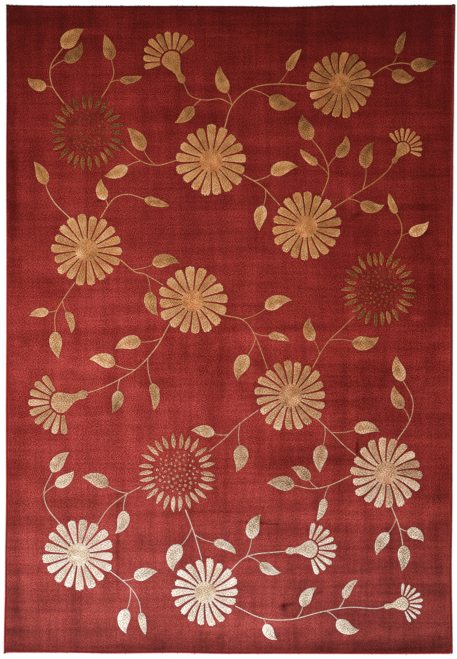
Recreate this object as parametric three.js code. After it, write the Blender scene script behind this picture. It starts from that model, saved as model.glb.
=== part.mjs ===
// A hand-knotted wool rug that lies flat, with its long sides and its two ends bound in wool.
// X runs across the width, Y along the length towards the head end, and Z up from the floor.
// The origin is on the floor, at the centre of the rug's footprint. All sizes are in millimetres.
import * as THREE from "three";

// Driving sizes
const WIDTH = 1850;
const LENGTH = 2680;
const PILE_TOP = 11;
const BINDING_WIDTH = 8;
const BINDING_HEIGHT = 7;
const GAP = 0.3;

// The pile leans out over its edge in a small round shoulder. Each row is one ring of the shoulder:
// how far it lies inside the wall, and its height as a share of the pile's height above the binding.
const SHOULDER = [
  { inside: 0, rise: 0 },
  { inside: 0.8, rise: 0.5 },
  { inside: 2.6, rise: 0.85 },
  { inside: 6, rise: 1 },
];

// How far the woven edge stands outside a straight one, from the foot end to the head end.
const SIDES = [
  { along: 0, left: 9.5, right: -1.7 },
  { along: 0.125, left: 4, right: -5.5 },
  { along: 0.25, left: 0.5, right: -2.9 },
  { along: 0.375, left: 1, right: -2.2 },
  { along: 0.5, left: -0.7, right: -1.5 },
  { along: 0.625, left: -1.2, right: -1.8 },
  { along: 0.75, left: -0.4, right: 0.7 },
  { along: 0.875, left: -2, right: 4.2 },
  { along: 1, left: -0.7, right: 9.5 },
];

// The same for the two ends, from the left side to the right side.
const ENDS = [
  { along: 0, foot: -2.3, head: 3 },
  { along: 0.125, foot: -2, head: 0 },
  { along: 0.25, foot: 1.2, head: -0.3 },
  { along: 0.375, foot: -0.7, head: -0.3 },
  { along: 0.5, foot: 2.9, head: -0.8 },
  { along: 0.625, foot: 2.7, head: -4.4 },
  { along: 0.75, foot: 3.4, head: 0.8 },
  { along: 0.875, foot: 4, head: 2.7 },
  { along: 1, foot: 3.1, head: 4 },
];

// Shallow troughs where the rug was folded or where its margin curls. Each runs along one axis,
// at a place on the other, and is widest in the middle of its run.
const TROUGHS = [
  { runs: "y", at: -868, from: -1330, to: 1330, depth: 0.9, reach: 24 },
  { runs: "y", at: 512, from: -660, to: -380, depth: 0.8, reach: 20 },
  { runs: "x", at: -1296, from: -915, to: 915, depth: 0.7, reach: 22 },
];

// Long, low waves in which the rug lies on the floor.
const WAVES = [
  { acrossPeriod: 1240, alongPeriod: 2900, phase: 0.6, height: 0.22 },
  { acrossPeriod: 3100, alongPeriod: 1180, phase: 2.1, height: 0.25 },
];
const WAVE_TOTAL = WAVES.reduce((sum, wave) => sum + wave.height, 0);

const HALF_WIDTH = WIDTH / 2;
const HALF_LENGTH = LENGTH / 2;
const FIELD_INSET = BINDING_WIDTH + GAP;
const BINDING_SIDES = 10;
const STEPS_ACROSS = 30;
const STEPS_ALONG = 44;

// The value of one column of a table at a place between 0 and 1, eased from row to row.
function fromTable(table, column, along) {
  const place = THREE.MathUtils.clamp(along, 0, 1);
  const next = table.findIndex((row) => row.along >= place);
  if (next === 0) return table[0][column];
  const before = table[next - 1];
  const after = table[next];
  const share = THREE.MathUtils.smoothstep(place, before.along, after.along);
  return THREE.MathUtils.lerp(before[column], after[column], share);
}

// Moves a point of the straight rectangle to where the uneven rug has it.
function onRug(x, y) {
  const across = (x + HALF_WIDTH) / WIDTH;
  const along = (y + HALF_LENGTH) / LENGTH;
  const left = fromTable(SIDES, "left", along);
  const right = fromTable(SIDES, "right", along);
  const foot = fromTable(ENDS, "foot", across);
  const head = fromTable(ENDS, "head", across);
  return [
    x + THREE.MathUtils.lerp(-left, right, across),
    y + THREE.MathUtils.lerp(-foot, head, along),
  ];
}

// How deep a trough is at a point: a soft valley that fades out towards both ends of its run.
function troughDepth(trough, x, y) {
  const [beside, onward] = trough.runs === "y" ? [x, y] : [y, x];
  const off = Math.abs(beside - trough.at) / trough.reach;
  if (off >= 1 || onward <= trough.from || onward >= trough.to) return 0;
  const run = (onward - trough.from) / (trough.to - trough.from);
  const valley = 0.5 + 0.5 * Math.cos(Math.PI * off);
  return trough.depth * valley * Math.sqrt(Math.sin(Math.PI * run));
}

// The height of the pile's face at a point of the straight rectangle.
function pileFace(x, y) {
  let height = PILE_TOP - WAVE_TOTAL;
  for (const wave of WAVES) {
    const turn = x / wave.acrossPeriod + y / wave.alongPeriod;
    height += wave.height * Math.sin(2 * Math.PI * turn + wave.phase);
  }
  for (const trough of TROUGHS) height -= troughDepth(trough, x, y);
  return height;
}

// Even stations from -half to half.
function evenStations(half, steps) {
  return Array.from({ length: steps + 1 }, (_, i) => -half + (2 * half * i) / steps);
}

// Even stations, with more beside each trough that runs along the other axis.
function stationsFor(half, steps, runs) {
  const clear = 6;
  const places = evenStations(half, steps);
  for (const trough of TROUGHS.filter((one) => one.runs === runs)) {
    const own = [-1, -0.5, 0, 0.5, 1].map((k) => trough.at + k * trough.reach);
    for (const place of own) {
      const near = places.findIndex((other) => Math.abs(other - place) < clear);
      if (near > 0 && near < places.length - 1) places.splice(near, 1);
      if (Math.abs(place) < half - clear) places.push(place);
    }
    places.sort((a, b) => a - b);
  }
  return places;
}

function meshFrom(name, points, faces, colour) {
  const geometry = new THREE.BufferGeometry();
  geometry.setAttribute("position", new THREE.Float32BufferAttribute(points.flat(), 3));
  geometry.setIndex(faces.flat());
  geometry.computeVertexNormals();
  const material = new THREE.MeshStandardMaterial({ color: colour, roughness: 0.95, metalness: 0 });
  const mesh = new THREE.Mesh(geometry, material);
  mesh.name = name;
  return mesh;
}

// The field: foundation and pile, woven as one cloth. Its underside is flat, its face is a grid of
// the pile's heights, and a ring of walls with a round shoulder joins the two.
function rugField() {
  const columns = stationsFor(HALF_WIDTH - FIELD_INSET, STEPS_ACROSS, "y");
  const rows = stationsFor(HALF_LENGTH - FIELD_INSET, STEPS_ALONG, "x");
  const lastColumn = columns.length - 1;
  const lastRow = rows.length - 1;
  const shoulderWidth = SHOULDER.at(-1).inside;
  const pulledIn = (place, half) =>
    THREE.MathUtils.clamp(place, -half + shoulderWidth, half - shoulderWidth);
  const points = [];
  const faces = [];

  // The face's grid, its border pulled in by the width of the shoulder.
  for (const y of rows) {
    for (const x of columns) {
      const gridX = pulledIn(x, HALF_WIDTH - FIELD_INSET);
      const gridY = pulledIn(y, HALF_LENGTH - FIELD_INSET);
      points.push([...onRug(gridX, gridY), pileFace(gridX, gridY)]);
    }
  }
  const gridPoint = (column, row) => row * columns.length + column;
  for (let row = 0; row < lastRow; row += 1) {
    for (let column = 0; column < lastColumn; column += 1) {
      const a = gridPoint(column, row);
      const b = gridPoint(column + 1, row);
      const c = gridPoint(column + 1, row + 1);
      const d = gridPoint(column, row + 1);
      faces.push([a, b, c], [a, c, d]);
    }
  }

  // The border, once round against the clock, as places in the grid.
  const border = [];
  for (let column = 0; column < lastColumn; column += 1) border.push([column, 0]);
  for (let row = 0; row < lastRow; row += 1) border.push([lastColumn, row]);
  for (let column = lastColumn; column > 0; column -= 1) border.push([column, lastRow]);
  for (let row = lastRow; row > 0; row -= 1) border.push([0, row]);

  // One ring of the wall or shoulder, as points.
  function ring(inside, heightAt) {
    const first = points.length;
    const limitX = HALF_WIDTH - FIELD_INSET - inside;
    const limitY = HALF_LENGTH - FIELD_INSET - inside;
    for (const [column, row] of border) {
      const x = THREE.MathUtils.clamp(columns[column], -limitX, limitX);
      const y = THREE.MathUtils.clamp(rows[row], -limitY, limitY);
      points.push([...onRug(x, y), heightAt(x, y)]);
    }
    return border.map((_, i) => first + i);
  }
  const rings = [ring(0, () => 0)];
  for (const { inside, rise } of SHOULDER.slice(0, -1)) {
    rings.push(
      ring(inside, (x, y) => THREE.MathUtils.lerp(BINDING_HEIGHT, pileFace(x, y), rise)),
    );
  }
  rings.push(border.map(([column, row]) => gridPoint(column, row)));
  for (let level = 0; level < rings.length - 1; level += 1) {
    const lower = rings[level];
    const upper = rings[level + 1];
    for (let i = 0; i < border.length; i += 1) {
      const j = (i + 1) % border.length;
      faces.push([lower[i], lower[j], upper[j]], [lower[i], upper[j], upper[i]]);
    }
  }

  // The flat underside.
  const floorRing = rings[0];
  const outline = floorRing.map((i) => new THREE.Vector2(points[i][0], points[i][1]));
  for (const [a, b, c] of THREE.ShapeUtils.triangulateShape(outline, [])) {
    faces.push([floorRing[a], floorRing[c], floorRing[b]]);
  }
  return meshFrom("rug_field", points, faces, 0x8f2f29);
}

// The section of an overcast edge: a cord wrapped in wool, with a flat side on the floor.
function bindingSection() {
  const turn = (2 * Math.PI) / BINDING_SIDES;
  const flat = Math.cos(turn / 2);
  return Array.from({ length: BINDING_SIDES }, (_, k) => {
    const angle = -Math.PI / 2 + turn * (k + 0.5);
    return {
      out: (BINDING_WIDTH / 2) * Math.cos(angle),
      up: (BINDING_HEIGHT / 2) * (1 + Math.sin(angle) / flat),
    };
  });
}

// A binding: the section carried along stations. toPoint says where a station and an offset lie.
function binding(name, stations, toPoint) {
  const section = bindingSection();
  const points = [];
  const faces = [];
  for (const station of stations) {
    for (const { out, up } of section) points.push([...toPoint(station, out), up]);
  }
  for (let step = 0; step < stations.length - 1; step += 1) {
    for (let k = 0; k < BINDING_SIDES; k += 1) {
      const next = (k + 1) % BINDING_SIDES;
      const a = step * BINDING_SIDES + k;
      const b = step * BINDING_SIDES + next;
      faces.push([a, b, b + BINDING_SIDES], [a, b + BINDING_SIDES, a + BINDING_SIDES]);
    }
  }
  const last = (stations.length - 1) * BINDING_SIDES;
  for (let k = 1; k < BINDING_SIDES - 1; k += 1) {
    faces.push([0, k + 1, k], [last, last + k, last + k + 1]);
  }
  return meshFrom(name, points, faces, 0x8c2018);
}

const fieldColumns = stationsFor(HALF_WIDTH - FIELD_INSET, STEPS_ACROSS, "y");
const fieldRows = stationsFor(HALF_LENGTH - FIELD_INSET, STEPS_ALONG, "x");
const sideStations = [-HALF_LENGTH, ...fieldRows, HALF_LENGTH];
const cordFromEdge = HALF_WIDTH - BINDING_WIDTH / 2;
const cordFromEnd = HALF_LENGTH - BINDING_WIDTH / 2;

const rug = new THREE.Group();
rug.name = "wool_rug";
rug.add(
  rugField(),
  binding("selvedge_left", sideStations, (y, out) => onRug(-cordFromEdge - out, y)),
  binding("selvedge_right", [...sideStations].reverse(), (y, out) => onRug(cordFromEdge + out, y)),
  binding("end_binding_head", fieldColumns, (x, out) => onRug(x, cordFromEnd + out)),
  binding("end_binding_foot", [...fieldColumns].reverse(), (x, out) => onRug(x, -cordFromEnd - out)),
);

export default rug;
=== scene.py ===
# %% [markdown]
# This lesson dresses a hand-knotted wool rug, 1.85 m by 2.68 m, that lies flat on a pale floor and is
# seen from straight above. The construction model gives the exact solids: one field and four edge
# bindings. It is loaded first and stays as it is, and every piece made here lies in its frame, in metres.

# %% Load the construction model
import cmath
import math
import random

import bpy
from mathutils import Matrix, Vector, noise


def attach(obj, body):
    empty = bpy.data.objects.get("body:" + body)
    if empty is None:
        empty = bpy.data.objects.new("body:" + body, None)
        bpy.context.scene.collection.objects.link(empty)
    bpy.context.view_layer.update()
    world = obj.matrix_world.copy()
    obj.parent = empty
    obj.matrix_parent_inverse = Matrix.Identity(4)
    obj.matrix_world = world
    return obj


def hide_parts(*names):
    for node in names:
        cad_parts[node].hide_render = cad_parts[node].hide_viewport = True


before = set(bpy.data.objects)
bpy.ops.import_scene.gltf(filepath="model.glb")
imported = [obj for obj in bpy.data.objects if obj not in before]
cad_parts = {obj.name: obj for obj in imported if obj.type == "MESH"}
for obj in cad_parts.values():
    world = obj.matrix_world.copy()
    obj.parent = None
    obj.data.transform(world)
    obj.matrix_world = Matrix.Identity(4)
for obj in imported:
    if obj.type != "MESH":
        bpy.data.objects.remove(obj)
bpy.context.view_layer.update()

# %% [markdown]
# Textile sizes are easiest to think of in millimetres, and Blender's unit here is the metre, so small
# sizes are written as a number times MM. The rug's outline isn't a perfect rectangle, because a loom
# pulls it in a little here and there. The same two short tables as in the construction model say how
# far each edge wanders, and a smooth step between the rows makes the edge a gentle line.

# %% The rug's own sizes and its uneven outline
MM = 0.001
RUG_WIDTH = 1.850
RUG_LENGTH = 2.680
PILE_TOP = 11 * MM
BINDING_WIDTH = 8 * MM
BINDING_HEIGHT = 7 * MM
FIELD_INSET = 8.3 * MM

# One row for every eighth of the length, foot to head: how far the left and the right edge stand out.
SIDE_WANDER = [
    (9.5, -1.7), (4.0, -5.5), (0.5, -2.9), (1.0, -2.2), (-0.7, -1.5),
    (-1.2, -1.8), (-0.4, 0.7), (-2.0, 4.2), (-0.7, 9.5),
]
# One row for every eighth of the width, left to right: how far the foot and the head edge stand out.
END_WANDER = [
    (-2.3, 3.0), (-2.0, 0.0), (1.2, -0.3), (-0.7, -0.3), (2.9, -0.8),
    (2.7, -4.4), (3.4, 0.8), (4.0, 2.7), (3.1, 4.0),
]


def blend_rows(table, column, share):
    """The value of one column at a share of the way along the table, eased from row to row."""
    place = min(max(share, 0.0), 1.0) * (len(table) - 1)
    row = min(int(place), len(table) - 2)
    part = place - row
    ease = part * part * (3 - 2 * part)
    return (table[row][column] * (1 - ease) + table[row + 1][column] * ease) * MM


def on_rug(x, y):
    """Moves a point of the perfect rectangle to its place on the real, uneven rug."""
    across = (x + RUG_WIDTH / 2) / RUG_WIDTH
    along = (y + RUG_LENGTH / 2) / RUG_LENGTH
    left, right = blend_rows(SIDE_WANDER, 0, along), blend_rows(SIDE_WANDER, 1, along)
    foot, head = blend_rows(END_WANDER, 0, across), blend_rows(END_WANDER, 1, across)
    return x - left + (left + right) * across, y - foot + (foot + head) * along


print("foot left corner lies at", on_rug(-RUG_WIDTH / 2, -RUG_LENGTH / 2))

# %% [markdown]
# The pile of a rug that has been rolled up isn't level. It has long low waves, three shallow troughs
# where it was creased, and small lumps where handfuls of knots lean together. One function gives the
# height of the pile anywhere, and everything that lies in the pile asks it, so nothing floats or sinks.

# %% Height of the pile
# Columns: the line's direction, its place across, its start and end, its depth, and its reach sideways.
TROUGHS = [
    ("lengthwise", -0.868, -1.330, 1.330, 0.9 * MM, 24 * MM),
    ("lengthwise", 0.512, -0.660, -0.380, 0.8 * MM, 20 * MM),
    ("crosswise", -1.296, -0.915, 0.915, 0.7 * MM, 22 * MM),
]
# Columns: the wave's period across and along the rug, its phase and its height.
WAVES = [(1.240, 2.900, 0.6, 0.22 * MM), (3.100, 1.180, 2.1, 0.25 * MM)]
# Columns: the size of a lump and its height.
LUMPS = [(55 * MM, 0.35 * MM), (26 * MM, 0.22 * MM)]


def trough_depth(x, y):
    """How far the creases lower the pile at this place."""
    depth = 0.0
    for direction, middle, start, end, deepest, reach in TROUGHS:
        beside, onward = (x, y) if direction == "lengthwise" else (y, x)
        off = abs(beside - middle) / reach
        run = (onward - start) / (end - start)
        if off < 1 and 0 < run < 1:
            depth += deepest * (0.5 + 0.5 * math.cos(math.pi * off)) * math.sqrt(math.sin(math.pi * run))
    return depth


def pile_height(x, y):
    """Height of the pile's tips above the floor."""
    height = PILE_TOP - sum(wave[3] for wave in WAVES) - trough_depth(x, y)
    for across, along, phase, swing in WAVES:
        height += swing * math.sin(2 * math.pi * (x / across + y / along) + phase)
    for size, swing in LUMPS:
        height += swing * noise.noise(Vector((x / size, y / size, 3.7)))
    return height


print("pile at the middle: %.2f mm" % (pile_height(0, 0) / MM))

# %% [markdown]
# Every piece becomes a mesh in the same way: points, faces, and sometimes a number at each point that
# its material reads, such as how close the point is to a clipped edge. Faces of three or four corners
# are the surface that shows, so they are shaded smooth. A face with more corners is a flat underside or
# the flat end of a cord. Most pieces are grids of points, so two functions give a grid's faces and border.

# %% Helpers that make a mesh and a piece
def add_mesh(name, points, faces, material):
    """Puts a mesh of one material in the scene."""
    mesh = bpy.data.meshes.new(name)
    mesh.from_pydata(points, [], faces)
    mesh.materials.append(material)
    thing = bpy.data.objects.new(name, mesh)
    bpy.context.scene.collection.objects.link(thing)
    return thing


def grid_faces(first, deep, wide):
    """The four-cornered faces of a grid whose points are numbered from first, row by row."""
    corners = [first + j * wide + i for j in range(deep - 1) for i in range(wide - 1)]
    return [(corner, corner + 1, corner + wide + 1, corner + wide) for corner in corners]


def grid_border(deep, wide):
    """The row and column of each point on a grid's border, once around."""
    return ([(0, i) for i in range(wide)] + [(j, wide - 1) for j in range(1, deep)]
            + [(deep - 1, i) for i in reversed(range(wide - 1))]
            + [(j, 0) for j in reversed(range(1, deep - 1))])


def make_piece(name, points, faces, material, numbers=None):
    """Makes a piece of the rug, riding on its only body and its point numbers."""
    piece = add_mesh(name, points, faces, material)
    for face in piece.data.polygons:
        face.use_smooth = len(face.vertices) <= 4
    for number_name, values in (numbers or {}).items():
        piece.data.attributes.new(number_name, "FLOAT", "POINT").data.foreach_set("value", values)
    piece.data.update()
    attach(piece, "root")
    triangles = sum(len(face.vertices) - 2 for face in piece.data.polygons)
    print(name, "has", len(points), "points and", triangles, "triangles")
    return piece


# %% [markdown]
# Colours are read off as sRGB hex values, the way a dyer's card gives them, and Blender wants linear
# light, so one function turns one into the other. A second small function adds a shader node: it sets
# the node's settings, and fills its sockets, in their order or by name, with plain values or with links.
# Textile colour is never even, so one more function adds soft random patches to a number, and another adds
# a random amount for each knot.

# %% Helpers for materials
def linear(hex_colour):
    """An sRGB hex colour as linear red, green, blue and alpha."""
    channels = [int(hex_colour[i:i + 2], 16) / 255 for i in (1, 3, 5)]
    return [c / 12.92 if c <= 0.04045 else ((c + 0.055) / 1.055) ** 2.4 for c in channels] + [1.0]


def add_node(tree, kind, sockets=(), **settings):
    """Adds a shader node. A node that is given as a socket's value is linked by its first output."""
    node = tree.nodes.new("ShaderNode" + kind)
    for setting, value in settings.items():
        setattr(node, setting, value)
    for socket, value in sockets.items() if isinstance(sockets, dict) else enumerate(sockets):
        if isinstance(value, bpy.types.Node):
            value = value.outputs[0]
        if isinstance(value, bpy.types.NodeSocket):
            tree.links.new(value, node.inputs[socket])
        else:
            node.inputs[socket].default_value = value
    return node


def new_material(name):
    """An empty material, its node tree, and the place on the rug that its patterns read, in metres."""
    material = bpy.data.materials.new(name)
    material.use_nodes = True
    material.node_tree.nodes.clear()
    return material, material.node_tree, add_node(material.node_tree, "TexCoord").outputs["Object"]


def fill_ramp(node, stops):
    """Gives a colour ramp its stops, each a place from 0 to 1 and a colour, as hex or linear."""
    ramp = node.color_ramp
    while len(ramp.elements) < len(stops):
        ramp.elements.new(1.0)
    for element, (place, colour) in zip(ramp.elements, stops):
        element.position = place
        element.color = linear(colour) if isinstance(colour, str) else colour
    return node


def uneven(tree, place, size, amount, onto, stretch=(1, 1, 1)):
    """Adds soft random patches of about the given size to a number, by up to the given amount."""
    moved = add_node(tree, "VectorMath", [place, stretch], operation="MULTIPLY")
    patches = add_node(tree, "TexNoise",
                       {"Vector": moved, "Scale": 1 / size, "Detail": 1.0, "Roughness": 0.5})
    centred = add_node(tree, "Math", [patches, 0.5], operation="SUBTRACT")
    return add_node(tree, "Math", [centred, amount, onto], operation="MULTIPLY_ADD")


# The width and length of a drawn knot. They differ a little, as a weaver's knots do.
KNOT = (4.2 * MM, 4.1 * MM, 1.0)
# A tuft that stands up presses its neighbours down, so each knot is set against the four around it. Columns:
# how many knots to the side and up, and that knot's share.
KNOT_SHARES = [(0, 0, 1.0), (1, 0, -0.28), (-1, 0, -0.28), (0, 1, -0.28), (0, -1, -0.28)]
# Woven rows aren't ruled lines: how far they wander, and over what length.
ROW_WANDER = 18 * MM
ROW_WANDER_LENGTH = 120 * MM


def knot_by_knot(tree, place, amount, onto):
    """Adds to a number a random amount for each knot."""
    wander = add_node(tree, "TexNoise", {"Vector": place, "Scale": 1 / ROW_WANDER_LENGTH, "Detail": 0.0})
    woven = add_node(tree, "VectorMath", [wander.outputs["Color"], (ROW_WANDER, ROW_WANDER, 0.0), place],
                     operation="MULTIPLY_ADD")
    for sideways, upward, share in KNOT_SHARES:
        moved = add_node(tree, "VectorMath", [woven, (sideways * KNOT[0], upward * KNOT[1], 0.0)],
                         operation="ADD")
        cell = add_node(tree, "VectorMath", [moved, KNOT], operation="SNAP")
        knot = add_node(tree, "TexWhiteNoise", [cell], noise_dimensions="3D")
        centred = add_node(tree, "Math", [knot, 0.5], operation="SUBTRACT")
        onto = add_node(tree, "Math", [centred, amount * share, onto], operation="MULTIPLY_ADD")
    return onto


print("madder red #9b3631 in linear light:", [round(c, 3) for c in linear("#9b3631")[:3]])

# %% [markdown]
# The photograph's view is straight down on the whole rug with a thin white margin. A long lens from far
# up keeps the sides parallel. The camera's height follows from the real sizes: the frame has to take in
# the rug's length plus its margins, and a lens of 85 mm sees 36 mm of sensor over the long side.

# %% Camera straight above
FRAME_LONG_SIDE = 2.7242
LENS = 85.0
SENSOR = 36.0
CAMERA_CENTRE = (-0.0036, 0.0005)
camera_data = bpy.data.cameras.new("camera_above")
camera_data.lens = LENS
camera_data.sensor_width = SENSOR
camera_data.sensor_fit = "AUTO"
camera = bpy.data.objects.new("camera_above", camera_data)
camera.location = (*CAMERA_CENTRE, PILE_TOP + FRAME_LONG_SIDE * LENS / SENSOR)
bpy.context.scene.collection.objects.link(camera)
bpy.context.scene.camera = camera
print("camera height: %.2f m" % camera.location.z)

# %% [markdown]
# The studio is plain: a pale painted floor, a white room that fills every shadow, and one broad soft
# light low at the foot's left side. The light's angle is wide, so that the rug's edge throws only a thin
# soft shadow along its head and its right side. Light from many sides is what shows a pile's colour. A low
# round wall of the same paint stands far off, so that a view from near the floor doesn't end in the dark.

# %% Studio floor and light
FLOOR_SIDE = 80.0
# The floor lies a hair under the rug's flat underside, so that the two faces never fight for the light.
FLOOR_DROP = 0.2 * MM
floor_paint, tree, floor_place = new_material("painted_pale_floor")
floor_patches = uneven(tree, floor_place, 0.4, 0.02, 0.5)
floor_shade = fill_ramp(add_node(tree, "ValToRGB", [floor_patches]),
                        [(0.4, "#f7f7f6"), (0.6, "#fafaf9")])
floor_surface = add_node(tree, "BsdfPrincipled", {"Base Color": floor_shade, "Roughness": 0.8})
add_node(tree, "OutputMaterial", {"Surface": floor_surface})
corners = [(side_x * FLOOR_SIDE / 2, side_y * FLOOR_SIDE / 2, 0)
           for side_x, side_y in ((-1, -1), (1, -1), (1, 1), (-1, 1))]
studio_floor = add_mesh("studio_floor", corners, [(0, 1, 2, 3)], floor_paint)
studio_floor.location.z = -FLOOR_DROP

WALL_RADIUS = 39.0
WALL_HEIGHT = 9.5
WALL_SIDES = 48
wall_line = [cmath.rect(WALL_RADIUS, 2 * math.pi * k / WALL_SIDES) for k in range(WALL_SIDES)]
wall_points = [(corner.real, corner.imag, z) for z in (0.0, WALL_HEIGHT) for corner in wall_line]
wall_faces = [(k, k + WALL_SIDES, (k + 1) % WALL_SIDES + WALL_SIDES, (k + 1) % WALL_SIDES)
              for k in range(WALL_SIDES)]
studio_wall = add_mesh("studio_wall", wall_points, wall_faces, floor_paint)

ROOM_LIGHT = 0.165
KEY_LIGHT = 3.70
KEY_ANGLE = math.radians(14)
world = bpy.data.worlds.new("white_room")
world.use_nodes = True
room = world.node_tree.nodes["Background"]
room.inputs["Color"].default_value = linear("#ffffff")
room.inputs["Strength"].default_value = ROOM_LIGHT
bpy.context.scene.world = world

key_data = bpy.data.lights.new("broad_soft_light", "SUN")
key_data.energy = KEY_LIGHT
key_data.angle = KEY_ANGLE
key_light = bpy.data.objects.new("broad_soft_light", key_data)
toward_light = Vector((-0.60, -0.50, 1.0))
key_light.rotation_euler = toward_light.to_track_quat("Z", "Y").to_euler()
key_light.location = toward_light * 4
bpy.context.scene.collection.objects.link(key_light)
bpy.context.scene.view_settings.view_transform = "Standard"
print("light on the floor: %.2f" % (ROOM_LIGHT + KEY_LIGHT / math.pi / toward_light.length))

# %% [markdown]
# The ground is wool, spun by hand, dyed with madder, and cut so that the rug is 11 mm thick. Cut wool is
# dull, because each knot shows the eye its fibre ends. What makes it live is lean and dye. Where the pile
# leans away from the light the red is deep, and where it leans to the light it is pale and a little pink,
# and here that light and shade is painted into the colour. Dyed in small lots, it also has faint bands
# across the rug, and single knots that are lighter or darker. So the material first works out one number,
# the tone, from 0 for deep to 1 for pale. It adds up a slow change from head to foot and a slope to the
# right, both painted shade that deepens away from a light at the foot's left side, long streaks both ways,
# marks of stains and pressed nap, some of them painted crease shade, a painted highlight along the right
# and head edges, and single knots. One colour ramp then turns that tone into reds, and a painted sheen of
# greyish pink lies over the palest of them at the foot. The knots are really 3 mm apart. They are drawn at
# 4 mm, because in a picture of the whole rug that is one pixel, and smaller ones melt away.

# %% Cut wool pile, dyed with madder
MADDER_REDS = [(0.05, "#4a1917"), (0.25, "#62211d"), (0.45, "#7b2e2a"), (0.65, "#943e38"),
               (0.85, "#ae524c"), (1.0, "#c1645d")]
# Deeper reds for the clipped lines around the silk: painted shade where the pile is clipped low.
CLIPPED_SHADE_REDS = [(0.0, "#46060a"), (0.25, "#5e0b0d"), (0.45, "#731114"), (0.65, "#85171b"),
                (0.85, "#972026"), (1.0, "#a72a31")]
# What the deepest and the palest knot tips let through of the red under them.
TIP_SHADES = [(0.0, (0.83, 0.05, 0.05, 1)), (1.0, (0.97, 1, 1, 1))]
# Mostly painted shade with some abrash: the tone along the rug, from the foot at 0 to the head at 1,
# deepening toward the head, away from the light.
TONE_FOOT_TO_HEAD = [(0.0, 0.48), (0.008, 0.47), (0.018, 0.62), (0.04, 0.75), (0.19, 0.79), (0.31, 0.77),
                     (0.44, 0.75), (0.56, 0.69), (0.69, 0.58), (0.81, 0.49), (0.93, 0.33), (0.985, 0.19),
                     (1.0, 0.16)]
# Painted shade: how much the tone falls below that across the rug, from the left at 0 to the right at 1,
# away from the light at the left.
FALL_LEFT_TO_RIGHT = [(0.0, 0.02), (0.008, 0.10), (0.04, 0.09), (0.09, 0.04), (0.25, 0.0), (0.42, 0.10),
                      (0.58, 0.11), (0.75, 0.21), (0.92, 0.27), (1.0, 0.27)]
# The fall is whole up to this share of the length, and only this much of it is left at the head.
FALL_WHOLE_UP_TO = 0.6
FALL_LEFT_AT_HEAD = 0.45
# A painted sheen: how much of a greyish pink lies over the palest red, most at the foot, where the light
# falls.
PAINTED_SHEEN_PINK = "#b08c88"
PAINTED_SHEEN_FOOT_TO_HEAD = [(0.0, 0.07), (0.03, 0.09), (0.12, 0.07), (0.28, 0.014), (0.45, 0.0)]
# Columns: the size of the patches, the tone they add or take, and their stretch along the rug's axes. A
# small stretch number draws a long streak: across the rug along a row of knots, or lengthwise along a warp.
WOOL_PATCHES = [
    (300 * MM, 0.16, (1, 1, 1)), (100 * MM, 0.25, (0.15, 1, 1)), (45 * MM, 0.20, (0.07, 1, 1)),
    (18 * MM, 0.15, (0.045, 1, 1)), (60 * MM, 0.25, (1, 0.10, 1)), (22 * MM, 0.11, (1, 0.06, 1)),
    (75 * MM, 0.16, (1, 1, 1)), (10 * MM, 0.20, (0.05, 1, 1)), (9 * MM, 0.18, (1, 0.06, 1)),
    (16 * MM, 0.17, (1, 1, 1)), (9 * MM, 0.13, (1, 1, 1)),
]
# How strongly those patches show along the rug, most at the foot.
PATCHINESS_FOOT_TO_HEAD = [(0.0, 1.52), (0.15, 1.48), (0.3, 1.25), (0.6, 1.0), (1.0, 1.06)]
# How much the single knots differ in all, and which share of that shows along the rug.
KNOT_SPREAD = 1.45
KNOTS_FOOT_TO_HEAD = [(0.0, 0.90), (0.5, 0.77), (1.0, 0.68)]
# A painted highlight: how much paler the pile is painted along the right and head edges, where its
# shoulder turns from the light.
PAINTED_EDGE_HIGHLIGHT = 0.42
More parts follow.
